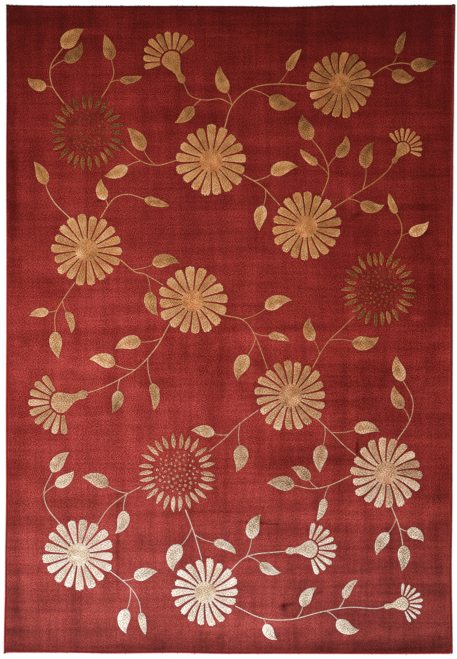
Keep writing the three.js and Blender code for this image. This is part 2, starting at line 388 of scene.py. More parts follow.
# Marks of stains and pressed nap, and in the long dark ones along the left edge, painted shade of its
# crease. Columns: the middle on the plan in metres, the half length and half width of the mark in
# millimetres, its angle in degrees, and the tone that it adds or takes.
STAIN_NAP_AND_CREASE_SHADE_MARKS = [
    (-0.898, 0.48, 430, 38, 90, -0.22), (0.767, 0.506, 160, 20, 0, -0.17),
    (0.747, 0.399, 160, 18, 0, -0.17), (0.519, 0.469, 40, 15, 35, -0.24), (0.5, 0.53, 70, 26, 110, 0.16),
    (0.126, -0.8, 105, 8, -4, -0.3), (0.226, -1.151, 23, 18, 15, -0.42),
    (0.244, -1.136, 46, 11, 5, -0.34), (0.362, -1.09, 40, 10, 20, -0.26),
    (0.528, -0.49, 50, 10, 85, -0.3), (-0.093, -0.647, 56, 9, 12, 0.26),
    (-0.461, -0.912, 290, 12, 90, -0.2), (0.776, 0.047, 34, 18, 0, 0.24),
    (-0.523, 0.543, 34, 11, 40, -0.32), (-0.866, -1.193, 110, 60, 0, -0.04),
    (-0.84, 1.23, 190, 110, 0, -0.1), (0.0, 1.27, 900, 26, 0, -0.06), (-0.4, 0.81, 420, 90, 0, 0.08),
    (-0.65, -0.13, 400, 110, 0, 0.09), (0.08, -0.13, 260, 110, 0, -0.13), (0.15, -1.23, 600, 80, 0, 0.17),
    (0.82, 0.06, 330, 110, 90, -0.12), (0.2, -0.83, 170, 70, 0, -0.09), (-0.905, 1.0, 330, 30, 90, -0.1),
    (-0.885, 0.7, 600, 60, 90, -0.05), (-0.89, -1.13, 260, 50, 90, -0.15), (0.46, -1.1, 280, 110, 0, 0.1),
    (0.4, -0.25, 600, 130, 0, -0.1), (0.64, -0.23, 200, 100, 0, -0.05), (0.3, 0.2, 140, 70, 0, 0.09),
    (0.457, 0.56, 110, 80, 90, 0.11), (-0.04, 0.52, 110, 60, 0, -0.09), (0.13, 1.15, 100, 90, 0, 0.09),
    (-0.7, 0.28, 110, 110, 0, 0.08), (-0.37, -1.27, 130, 60, 0, 0.09), (-0.866, -0.21, 180, 60, 90, 0.09),
    (0.3, 0.52, 110, 70, 0, -0.07), (-0.888, 0.04, 160, 46, 90, 0.11), (-0.25, 1.245, 480, 75, 0, 0.06),
    (0.0, -1.29, 560, 45, 0, 0.05), (-0.37, -0.24, 90, 80, 0, 0.07), (-0.04, 0.81, 110, 60, 0, 0.07),
    (0.3, -0.68, 110, 60, 0, 0.06), (0.8, 0.35, 100, 80, 0, -0.05), (0.8, -0.09, 110, 70, 0, -0.05),
    (-0.7, 1.105, 230, 60, 0, -0.05), (-0.3, -0.98, 300, 70, 0, 0.09), (0.55, -0.98, 300, 80, 0, 0.05),
]
# A mark is full near its middle, up to the first share of its half size, and gone at the second. Patches of
# about the third size push its outline in and out.
MARK_FULL = 0.1
MARK_GONE = 1.1
MARK_WOBBLE = 20 * MM


def share_of(tree, place, axis, half_size):
    """The place along one axis of the rug, as a number from 0 to 1."""
    parts = add_node(tree, "SeparateXYZ", [place])
    return add_node(tree, "MapRange", [parts.outputs[axis], -half_size, half_size, 0.0, 1.0])


def read_table(tree, share, table):
    """Reads a two-column table of numbers at a share, inside the shader."""
    return fill_ramp(add_node(tree, "ValToRGB", [share]), [(at, [number] * 3 + [1]) for at, number in table])


def wool_tone(tree, place, upward):
    """The tone of the wool ground at each place, where upward is its share of the way from foot to head."""
    # Painted shade: the slope across the rug and the slow change from foot to head.
    fall = read_table(tree, share_of(tree, place, "X", RUG_WIDTH / 2), FALL_LEFT_TO_RIGHT)
    easing = add_node(tree, "MapRange", [upward, FALL_WHOLE_UP_TO, 1.0, 1.0, FALL_LEFT_AT_HEAD])
    fallen = add_node(tree, "Math", [fall, easing], operation="MULTIPLY")
    slow = read_table(tree, upward, TONE_FOOT_TO_HEAD)
    tone = add_node(tree, "Math", [slow, fallen], operation="SUBTRACT")
    patches = 0.0
    for size, amount, stretch in WOOL_PATCHES:
        patches = uneven(tree, place, size, amount, patches, stretch)
    patchiness = read_table(tree, upward, PATCHINESS_FOOT_TO_HEAD)
    tone = add_node(tree, "Math", [patches, patchiness, tone], operation="MULTIPLY_ADD")
    # The painted highlight along the right and head edges.
    painted_edge_light = add_node(tree, "Attribute", attribute_name="painted_edge_light").outputs["Fac"]
    tone = add_node(tree, "Math", [painted_edge_light, PAINTED_EDGE_HIGHLIGHT, tone], operation="MULTIPLY_ADD")
    wobble = uneven(tree, place, MARK_WOBBLE, 1.0, 0.0)
    for x, y, half_length, half_width, angle, amount in STAIN_NAP_AND_CREASE_SHADE_MARKS:
        oval = add_node(tree, "Mapping", {
            "Vector": place, "Location": (x, y, 0.0), "Rotation": (0.0, 0.0, math.radians(angle)),
            "Scale": (half_length * MM, half_width * MM, 1.0)}, vector_type="TEXTURE")
        away = add_node(tree, "VectorMath", [oval], operation="LENGTH").outputs["Value"]
        away = add_node(tree, "Math", [away, wobble], operation="ADD")
        mark = add_node(tree, "MapRange", [away, MARK_FULL, MARK_GONE, amount, 0.0],
                        interpolation_type="SMOOTHSTEP")
        tone = add_node(tree, "Math", [tone, mark], operation="ADD")
    return tone


def wool_material(name, reds, knot_contrast):
    """Cut wool pile in a ramp of reds, with a contrast between its knots."""
    material, tree, place = new_material(name)
    upward = share_of(tree, place, "Y", RUG_LENGTH / 2)
    tone = wool_tone(tree, place, upward)
    knots = knot_by_knot(tree, place, KNOT_SPREAD, 0.0)
    knots_along = read_table(tree, upward, KNOTS_FOOT_TO_HEAD)
    tips = add_node(tree, "Math", [knots, knots_along, 0.5], operation="MULTIPLY_ADD")
    tone = add_node(tree, "Math", [tips, knot_contrast, tone], operation="MULTIPLY_ADD")
    tone = add_node(tree, "Math", [tone, knot_contrast / 2], operation="SUBTRACT")
    red = fill_ramp(add_node(tree, "ValToRGB", [tone]), reds)
    tip_shade = fill_ramp(add_node(tree, "ValToRGB", [tips]), TIP_SHADES)
    shaded = add_node(tree, "Mix", {0: 1.0, 6: red, 7: tip_shade}, data_type="RGBA", blend_type="MULTIPLY")
    # A painted sheen of greyish pink over the palest red, most at the foot.
    paleness = add_node(tree, "Math", [tone, 0.5], operation="POWER")
    most_painted_sheen = read_table(tree, upward, PAINTED_SHEEN_FOOT_TO_HEAD)
    painted_sheen_share = add_node(tree, "Math", [most_painted_sheen, paleness], operation="MULTIPLY")
    with_painted_sheen = add_node(tree, "Mix", {0: painted_sheen_share, 6: shaded.outputs[2], 7: linear(PAINTED_SHEEN_PINK)}, data_type="RGBA")
    relief = add_node(tree, "Bump", {"Height": tips, "Strength": 0.5, "Distance": 0.8 * MM})
    surface = add_node(tree, "BsdfPrincipled", {
        "Base Color": with_painted_sheen.outputs[2], "Roughness": 0.95, "Specular IOR Level": 0.03, "Sheen Weight": 0.05,
        "Sheen Roughness": 0.6, "Sheen Tint": linear("#d8706a"), "Normal": relief})
    add_node(tree, "OutputMaterial", {"Surface": surface})
    return material


cut_wool = wool_material("cut_wool_pile", MADDER_REDS, knot_contrast=0.16)
# A copy of the wool in deeper reds: painted shade in the clipped lines.
clipped_wool = wool_material("clipped_wool_outline", CLIPPED_SHADE_REDS, knot_contrast=0.08)
print("materials:", cut_wool.name, clipped_wool.name)

# %% [markdown]
# The field of pile is one closed sheet. It could be a flat slab with bump, but its edge would look cut
# with a knife. Real pile fans out over the binding, so the top is a grid that follows the pile's height,
# rolls down at its shoulder, and wobbles there tuft by tuft. The underside is one flat face on the floor.

# %% The field of wool pile
GRID_STEP = 8 * MM
# Columns: the distance inside the edge, and the share of the full height that the pile has there.
SHOULDER = [(0.0, 0.0), (0.8 * MM, 0.45), (1.8 * MM, 0.72), (3.4 * MM, 0.90), (6.0 * MM, 1.0)]
SHOULDER_FOOT = 3.0 * MM
# Along the edge the tufts are ragged: by how much, in tufts of what size, and how far inside the edge.
RAGGED_HEIGHT = 0.9 * MM
RAGGED_SIZE = 7 * MM
RAGGED_REACH = 5 * MM
# How far inside the right edge the pile gets that painted highlight. At the head edge it gets half as much.
PAINTED_EDGE_LIGHT_REACH = 4 * MM


def stations(half_size):
    """Places across the field: close together on the shoulders, even between them."""
    shoulder = [distance for distance, _ in SHOULDER]
    inner = half_size - shoulder[-1]
    count = round(2 * inner / GRID_STEP)
    even = [-inner + 2 * inner * k / count for k in range(1, count)]
    outer = [-half_size + distance for distance in shoulder]
    return outer + even + [-place for place in reversed(outer)]


def profile_at(table, place):
    """Reads a two-column profile at a place, in straight lines between its rows."""
    for (near, low), (far, high) in zip(table, table[1:]):
        if place <= far:
            return low + (high - low) * (place - near) / (far - near)
    return table[-1][1]


field_half_width = RUG_WIDTH / 2 - FIELD_INSET
field_half_length = RUG_LENGTH / 2 - FIELD_INSET
columns = stations(field_half_width)
rows = stations(field_half_length)
field_points = []
painted_edge_light = []
for y in rows:
    for x in columns:
        inside = min(field_half_width - abs(x), field_half_length - abs(y))
        share = profile_at(SHOULDER, max(inside, 0.0))
        tuft = noise.noise(Vector((x / RAGGED_SIZE, y / RAGGED_SIZE, 9.1)))
        ragged = RAGGED_HEIGHT * tuft * (inside < RAGGED_REACH)
        top = SHOULDER_FOOT + (pile_height(x, y) - SHOULDER_FOOT) * share + ragged * share
        field_points.append((*on_rug(x, y), top))
        # A painted highlight along the right edge, and half of it along the head edge.
        painted_edge_light.append(max(field_half_width - x < PAINTED_EDGE_LIGHT_REACH, 0.5 * (field_half_length - y < PAINTED_EDGE_LIGHT_REACH)))

field_faces = grid_faces(0, len(rows), len(columns))
rim = [j * len(columns) + i for j, i in grid_border(len(rows), len(columns))]
underside = range(len(field_points), len(field_points) + len(rim))
field_points += [(field_points[k][0], field_points[k][1], 0.0) for k in rim]
painted_edge_light += [painted_edge_light[k] for k in rim]
for k in range(len(rim)):
    after = (k + 1) % len(rim)
    field_faces.append((rim[k], underside[k], underside[after], rim[after]))
field_faces.append(tuple(reversed(underside)))
wool_pile = make_piece("wool_pile", field_points, field_faces, cut_wool, {"painted_edge_light": painted_edge_light})
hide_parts("rug_field")

# %% [markdown]
# The flowers are silk, knotted into the wool and cut a millimetre higher. A weaver clips a fine line in
# the wool around each one, so it stands out like an inlay. Each petal, leaf or stem is therefore its own
# small island: a closed mesh whose edge lies just under the wool, with a short clipped slope and a low
# crown. An island is a grid, and the ring that a point is on, counted from the edge, sets its height. On
# the plan a complex number is a point, x + iy, because turning and moving are then plain products and
# sums.

# %% Silk islands in the pile
# Columns, one row for each ring inward from the edge: its distance inside the edge, its height over the
# wool, and how much of the edge's painted light it has: a highlight on most islands, shade on the hearts.
RINGS = [(0.0, -0.7 * MM, 1.0), (1.3 * MM, 0.55 * MM, 1.0), (3.6 * MM, 0.95 * MM, 0.45),
         (9.0 * MM, 1.1 * MM, 0.0)]
# On a small island the rings close up, each at most this share of its size from the last.
MOST_RING_SHARE = 0.15
LEAST_HALF_WIDTH = 0.4 * MM
CLIPPED_WIDTH = 4.0 * MM
NARROW_CLIPPED_WIDTH = 2.4 * MM
# The section of a clipped line, from outside inward to just under the island. Columns: the share of the
# line's width, what is added to that, and the height over the wool.
CLIPPED_SECTION = [(1.0, 0.0, -0.5 * MM), (0.45, 0.0, 0.35 * MM), (0.0, -0.9 * MM, -0.5 * MM)]
# Points of an outline that lie closer than this count as one.
SAME_POINT = 0.2 * MM
seeded = random.Random(7)


def new_store():
    """Empty lists that gather the points, faces and point numbers of many islands."""
    return {"points": [], "faces": [], "edge": [], "tone": []}


def lay(plan_point, height):
    """A point on the plan, laid on the pile with a height over it."""
    x, y = plan_point.real, plan_point.imag
    return (*on_rug(x, y), pile_height(x, y) + height)


def add_point(store, plan_point, height, edge, tone):
    """Adds one point of an island, with its two point numbers."""
    store["points"].append(lay(plan_point, height))
    store["edge"].append(edge)
    store["tone"].append(tone)


def ring_shares(size, count):
    """Shares from 0 to 1 over a size, with the rings' own distances at both ends and even steps between."""
    ends = [min(ring[0] / size, MOST_RING_SHARE * k) for k, ring in enumerate(RINGS[:3])]
    middle = [ends[-1] + (1 - 2 * ends[-1]) * k / count for k in range(1, count)]
    return ends + middle + [1 - share for share in reversed(ends)]


def add_island(store, spot, size_along, size_across, tone, steps=6, steps_across=2, rise=0.0,
               line_width=CLIPPED_WIDTH):
    """Adds one closed island and the clipped line around it. spot(s, v) gives its plan point for s from 0
    to 1 along and v from -1 to 1. Its tone rises from the root to the tip by the given amount."""
    first = len(store["points"])
    shares = ring_shares(size_along, steps)
    sides = [2 * share - 1 for share in ring_shares(size_across, steps_across)]
    for i, s in enumerate(shares):
        for j, v in enumerate(sides):
            ring = min(i, len(shares) - 1 - i, j, len(sides) - 1 - j, len(RINGS) - 1)
            add_point(store, spot(s, v), *RINGS[ring][1:], tone + rise * (s - 0.5))
    store["faces"] += grid_faces(first, len(shares), len(sides))
    border = grid_border(len(shares), len(sides))
    store["faces"].append(tuple(first + i * len(sides) + j for i, j in reversed(border)))
    add_clipped_line([spot(shares[i], sides[j]) for i, j in border], line_width)


def add_clipped_line(outline, width):
    """Adds a clipped line along an island's outline, as a closed ring with a three-cornered section."""
    corners = [point for point, before in zip(outline, outline[-1:] + outline)
               if abs(point - before) > SAME_POINT]
    count = len(corners)
    doubled_area = sum((a.conjugate() * b).imag for a, b in zip(corners, corners[1:] + corners[:1]))
    outward = -1j if doubled_area > 0 else 1j
    first = len(clipped_lines["points"])
    for k, point in enumerate(corners):
        way = corners[(k + 1) % count] - corners[k - 1]
        normal = outward * way / max(abs(way), 0.01 * MM)
        for share, more, height in CLIPPED_SECTION:
            clipped_lines["points"].append(lay(point + normal * (share * width + more), height))
    turn = (0, 1, 2) if doubled_area > 0 else (2, 1, 0)
    for k in range(count):
        here, there = first + 3 * k, first + 3 * ((k + 1) % count)
        for a, b in zip(turn, turn[1:] + turn[:1]):
            clipped_lines["faces"].append((here + a, there + a, there + b, here + b))


clipped_lines = new_store()
print("an island's slope is %.1f mm wide and its crown %.1f mm high" % (RINGS[1][0] / MM, RINGS[3][1] / MM))

# %% [markdown]
# The full-face flowers are ordinary daisies. A daisy's petal is a wedge with a rounded end and two shallow
# notches, and the same wedge repeats around the heart with a thin gap of wool that widens outward. All the
# petals of a flower turn a little the same way, and random small changes of length, width and tone keep
# the repeat from looking printed. The heart is a low dome in a warmer silk that covers the petals' roots.

# %% Daisies
# Columns: the heart's place on the plan, the radius over the petals, and the number of petals.
DAISIES = [
    (0.455 + 1.015j, 0.142, 18), (-0.075 + 0.700j, 0.150, 17), (0.318 + 0.430j, 0.145, 18),
    (-0.590 + 0.330j, 0.150, 18), (-0.150 + 0.120j, 0.145, 16), (0.255 - 0.270j, 0.152, 19),
    (0.650 - 0.590j, 0.150, 18), (-0.620 - 0.930j, 0.150, 17), (-0.095 - 1.085j, 0.142, 18),
]
GAP_AT_ROOT = 4.5 * MM
GAP_AT_TIP = 8.4 * MM
HEART_SHARE = 0.31
TONE_SPREAD = 0.045
# The rounded end of a petal: how far back its corners are, and how much it narrows from which share on.
CORNERS_BACK = 10 * MM
NARROWING = 0.20
NARROWS_FROM = 0.72
# Its two notches: their places across the petal, from -1 to 1, and their width.
NOTCHES = (-0.34, 0.34)
NOTCH_WIDTH = 0.17
LEAST_PETAL_HALF = 1.6 * MM


def add_petal(store, centre, heading, inner, outer, half_pitch, tone, sway=0.0):
    """Adds one wedge-shaped petal with a rounded end, two shallow notches, and a sway to one side."""
    way = cmath.exp(1j * heading)
    notch = seeded.uniform(3, 6) * MM
    fullness = seeded.uniform(0.94, 1.03)
    # The gaps are a little wider toward the foot of the rug.
    widening = 1.06 - 0.18 * centre.imag

    def spot(s, v):
        notches = sum(math.exp(-(((v - middle) / NOTCH_WIDTH) ** 2)) for middle in NOTCHES)
        reach = outer - CORNERS_BACK * abs(v) ** 2.4 - notch * notches
        radius = inner + s * (reach - inner)
        gap = (GAP_AT_ROOT + (GAP_AT_TIP - GAP_AT_ROOT) * s) * widening
        half = max(LEAST_PETAL_HALF, radius * math.tan(half_pitch) - gap / 2) * fullness
        narrowed = half * (1 - NARROWING * max(0.0, (s - NARROWS_FROM) / (1 - NARROWS_FROM)) ** 2)
        return centre + way * cmath.exp(1j * sway * s * s) * (radius + 1j * v * narrowed)

    widest = 2 * (outer * math.tan(half_pitch) - GAP_AT_TIP / 2)
    add_island(store, spot, outer - inner, widest, tone, steps=7, steps_across=10, rise=0.07)


def add_dome(store, centre, radius, tone, sides, lift=0.0):
    """Adds a round island in rings, lifted where it covers others, and gives back its outline."""
    first = len(store["points"])
    levels = [(radius - inset, height + lift * (inset > 0), edge) for inset, height, edge in RINGS
              if inset < radius * 0.8]
    for ring_radius, height, edge in levels:
        for k in range(sides):
            add_point(store, centre + cmath.rect(ring_radius, 2 * math.pi * k / sides), height, edge, tone)
    middle = len(store["points"])
    add_point(store, centre, levels[-1][1] + 0.1 * MM, 0.0, tone)
    for level in range(len(levels) - 1):
        for k in range(sides):
            a, b = first + level * sides + k, first + level * sides + (k + 1) % sides
            store["faces"].append((a, b, b + sides, a + sides))
    top = first + (len(levels) - 1) * sides
    for k in range(sides):
        store["faces"].append((top + k, top + (k + 1) % sides, middle))
    store["faces"].append(tuple(first + k for k in reversed(range(sides))))
    return [centre + cmath.rect(radius, 2 * math.pi * k / sides) for k in range(sides)]


daisy_petals = new_store()
daisy_hearts = new_store()
for centre, radius, count in DAISIES:
    start = seeded.uniform(0, 2 * math.pi / count)
    flower_tone = seeded.gauss(0, TONE_SPREAD * 0.5)
    flower_sway = seeded.uniform(-0.10, 0.10)
    for k in range(count):
        reach = radius * seeded.uniform(0.94, 1.03)
        add_petal(daisy_petals, centre, start + 2 * math.pi * k / count, radius * HEART_SHARE - 2.5 * MM,
                  reach, math.pi / count, flower_tone + seeded.gauss(0, TONE_SPREAD),
                  flower_sway + seeded.uniform(-0.012, 0.012))
    add_dome(daisy_hearts, centre, radius * HEART_SHARE + 1.5 * MM, flower_tone, sides=36, lift=0.3 * MM)
print(sum(row[2] for row in DAISIES), "petals on", len(DAISIES), "daisies")

# %% [markdown]
# Leaves, sepals and the rays of a seed head are all blades: a spine that curves, and a width that swells
# and comes to a point. The swelling is a product of two powers, one for each end, scaled to 1 at its
# widest, which draws slim and full blades alike.

# %% A curved blade
SPINE_STEPS = 24
# A power over 1 keeps a blade straight at its root and bends it mostly toward its tip.
BEND_POWER = 1.6


def swell(s, near, far):
    """A width profile from 0 to 1 and back, where larger powers make slimmer ends."""
    widest = near / (near + far)
    return (s ** near * (1 - s) ** far) / (widest ** near * (1 - widest) ** far)


def blade_spot(root, way, length, width, bend, near=0.6, far=0.9):
    """The plan of a blade that starts at its root and bends by an angle over its length."""
    spine = [root]
    for k in range(SPINE_STEPS):
        turn = cmath.exp(1j * bend * ((k + 0.5) / SPINE_STEPS) ** BEND_POWER)
        spine.append(spine[-1] + way * turn * length / SPINE_STEPS)

    def spot(s, v):
        place = s * SPINE_STEPS
        k = min(int(place), SPINE_STEPS - 1)
        point = spine[k] + (spine[k + 1] - spine[k]) * (place - k)
        half = max(LEAST_HALF_WIDTH, width / 2 * swell(min(max(s, 0.0), 1.0), near, far))
        return point + 1j * way * cmath.exp(1j * bend * s ** BEND_POWER) * v * half

    return spot


def add_blade(store, root, way, length, width, bend, tone, near=0.6, far=0.9, steps=10, rise=0.0):
    """Adds a blade-shaped island."""
    add_island(store, blade_spot(root, way, length, width, bend, near, far), length, width, tone, steps=steps,
               rise=rise)


print("a blade is widest at %.0f %% of its length" % (100 * 0.6 / 1.5))

# %% [markdown]
# Three flowers have gone to seed. Their rays are short lances with a small bend, and the seeds sit in the
# spiral that sunflowers use: each one turned by the golden angle from the last, and as far out as the
# square root of its number, which spaces them evenly. Their silk is dark at the rug's head and pale at its
# foot, which its material sees to further on.

# %% Seed heads
# Columns: the middle on the plan, and the radius over the rays.
SEED_HEADS = [(-0.590 + 0.815j, 0.160), (0.620 + 0.170j, 0.158), (-0.215 - 0.590j, 0.165)]
GOLDEN_ANGLE = math.pi * (3 - math.sqrt(5))
RAYS = 26
RAY_WIDTH = 19 * MM
SEEDS = 60
SEED_DISC_SHARE = 0.54
SEED_TONE = -0.16

seed_heads = new_store()
for middle, radius in SEED_HEADS:
    for k in range(RAYS):
        way = cmath.exp(2j * math.pi * (k + seeded.uniform(-0.12, 0.12)) / RAYS)
        inner = radius * seeded.uniform(0.58, 0.62)
        add_blade(seed_heads, middle + way * inner, way, radius * seeded.uniform(0.36, 0.42), RAY_WIDTH,
                  seeded.uniform(-0.5, 0.5), seeded.gauss(0, TONE_SPREAD), near=0.7, far=0.9, steps=6)
    for k in range(1, SEEDS + 1):
        place = middle + cmath.rect(SEED_DISC_SHARE * radius * math.sqrt(k / SEEDS), k * GOLDEN_ANGLE)
        outline = add_dome(seed_heads, place, seeded.uniform(4.6, 7.4) * MM,
                           seeded.gauss(SEED_TONE, TONE_SPREAD), sides=10)
        add_clipped_line(outline, NARROW_CLIPPED_WIDTH)
print(len(SEED_HEADS), "seed heads with", RAYS, "rays and", SEEDS, "seeds each")

# %% [markdown]
# Five flowers are seen from the side: a fan of petals over a cup that the stem enters. The cup is drawn
# like a turned goblet on a knob, by its half-width at a few places, and the fan starts just past its lid.

# %% Flowers seen from the side
# Columns: the middle of the fan on the plan, the way it faces in degrees, and the petals' reach.
SIDE_FLOWERS = [
    (-0.240 + 1.110j, 118, 0.118), (0.715 + 0.745j, 55, 0.082), (-0.690 - 0.300j, 200, 0.130),
    (0.330 - 0.905j, 5, 0.108), (0.715 - 1.130j, 10, 0.084),
]
FAN_PETALS = 9
FAN_STEP = math.radians(18.5)
# Columns: the share of the cup's length from the stem, and its half-width as a share of the reach.
CUP_PROFILE = [(0.0, 0.05), (0.07, 0.12), (0.15, 0.145), (0.23, 0.11), (0.32, 0.105), (0.45, 0.16),
               (0.60, 0.27), (0.73, 0.34), (0.84, 0.33), (0.94, 0.22), (1.0, 0.06)]
# As shares of the reach: how far the cup's root lies behind the fan's middle and its lid before it, where
# the petals start past the lid, and how far behind the root a stem comes in straight.
CUP_ROOT_SHARE = 0.86
CUP_LID_SHARE = 0.36
PAST_LID = 0.06
STRAIGHT_STEM = 0.5


def into_cup(number):
    """The last two points of a stem that comes in straight behind a side flower and ends at its cup."""
    middle, facing, reach = SIDE_FLOWERS[number]
    return [middle - cmath.rect(share * reach, math.radians(facing))
            for share in (CUP_ROOT_SHARE + STRAIGHT_STEM, CUP_ROOT_SHARE)]


side_petals = new_store()
side_cups = new_store()
for number, (middle, facing, reach) in enumerate(SIDE_FLOWERS):
    way = cmath.exp(1j * math.radians(facing))
    flower_tone = seeded.gauss(0, TONE_SPREAD * 0.5)
    for k in range(FAN_PETALS):
        off = k - (FAN_PETALS - 1) / 2
        add_petal(side_petals, middle, math.radians(facing) + off * FAN_STEP,
                  reach * (CUP_LID_SHARE + PAST_LID),
                  reach * (1.12 - 0.02 * abs(off)) * seeded.uniform(0.97, 1.02), FAN_STEP / 2,
                  flower_tone + seeded.gauss(0, TONE_SPREAD))
    root = into_cup(number)[1]
    cup_length = (CUP_ROOT_SHARE + CUP_LID_SHARE) * reach

    def cup_spot(s, v):
        return root + way * (s * cup_length + 1j * v * reach * profile_at(CUP_PROFILE, s))

    add_island(side_cups, cup_spot, cup_length, 0.6 * reach, flower_tone - 0.05, steps=18, steps_across=5,
               rise=0.12)
print(len(SIDE_FLOWERS), "side flowers")

# %% [markdown]
# Stems join the flowers into long trailing sprays. Each is a smooth curve through a few given points, and
# its twigs leave it at an angle, curl, and end in a leaf or a bud. A stem is only a knot or two wide, so it
# is a ribbon of less than 5 mm, and its twigs are thinner. The ends that meet a side flower are worked out
# from its cup.

# %% Stems, twigs, leaves and buds
STEM_WIDTH = 4.6 * MM
TWIG_WIDTH = 3.8 * MM
CURVE_STEPS = 12
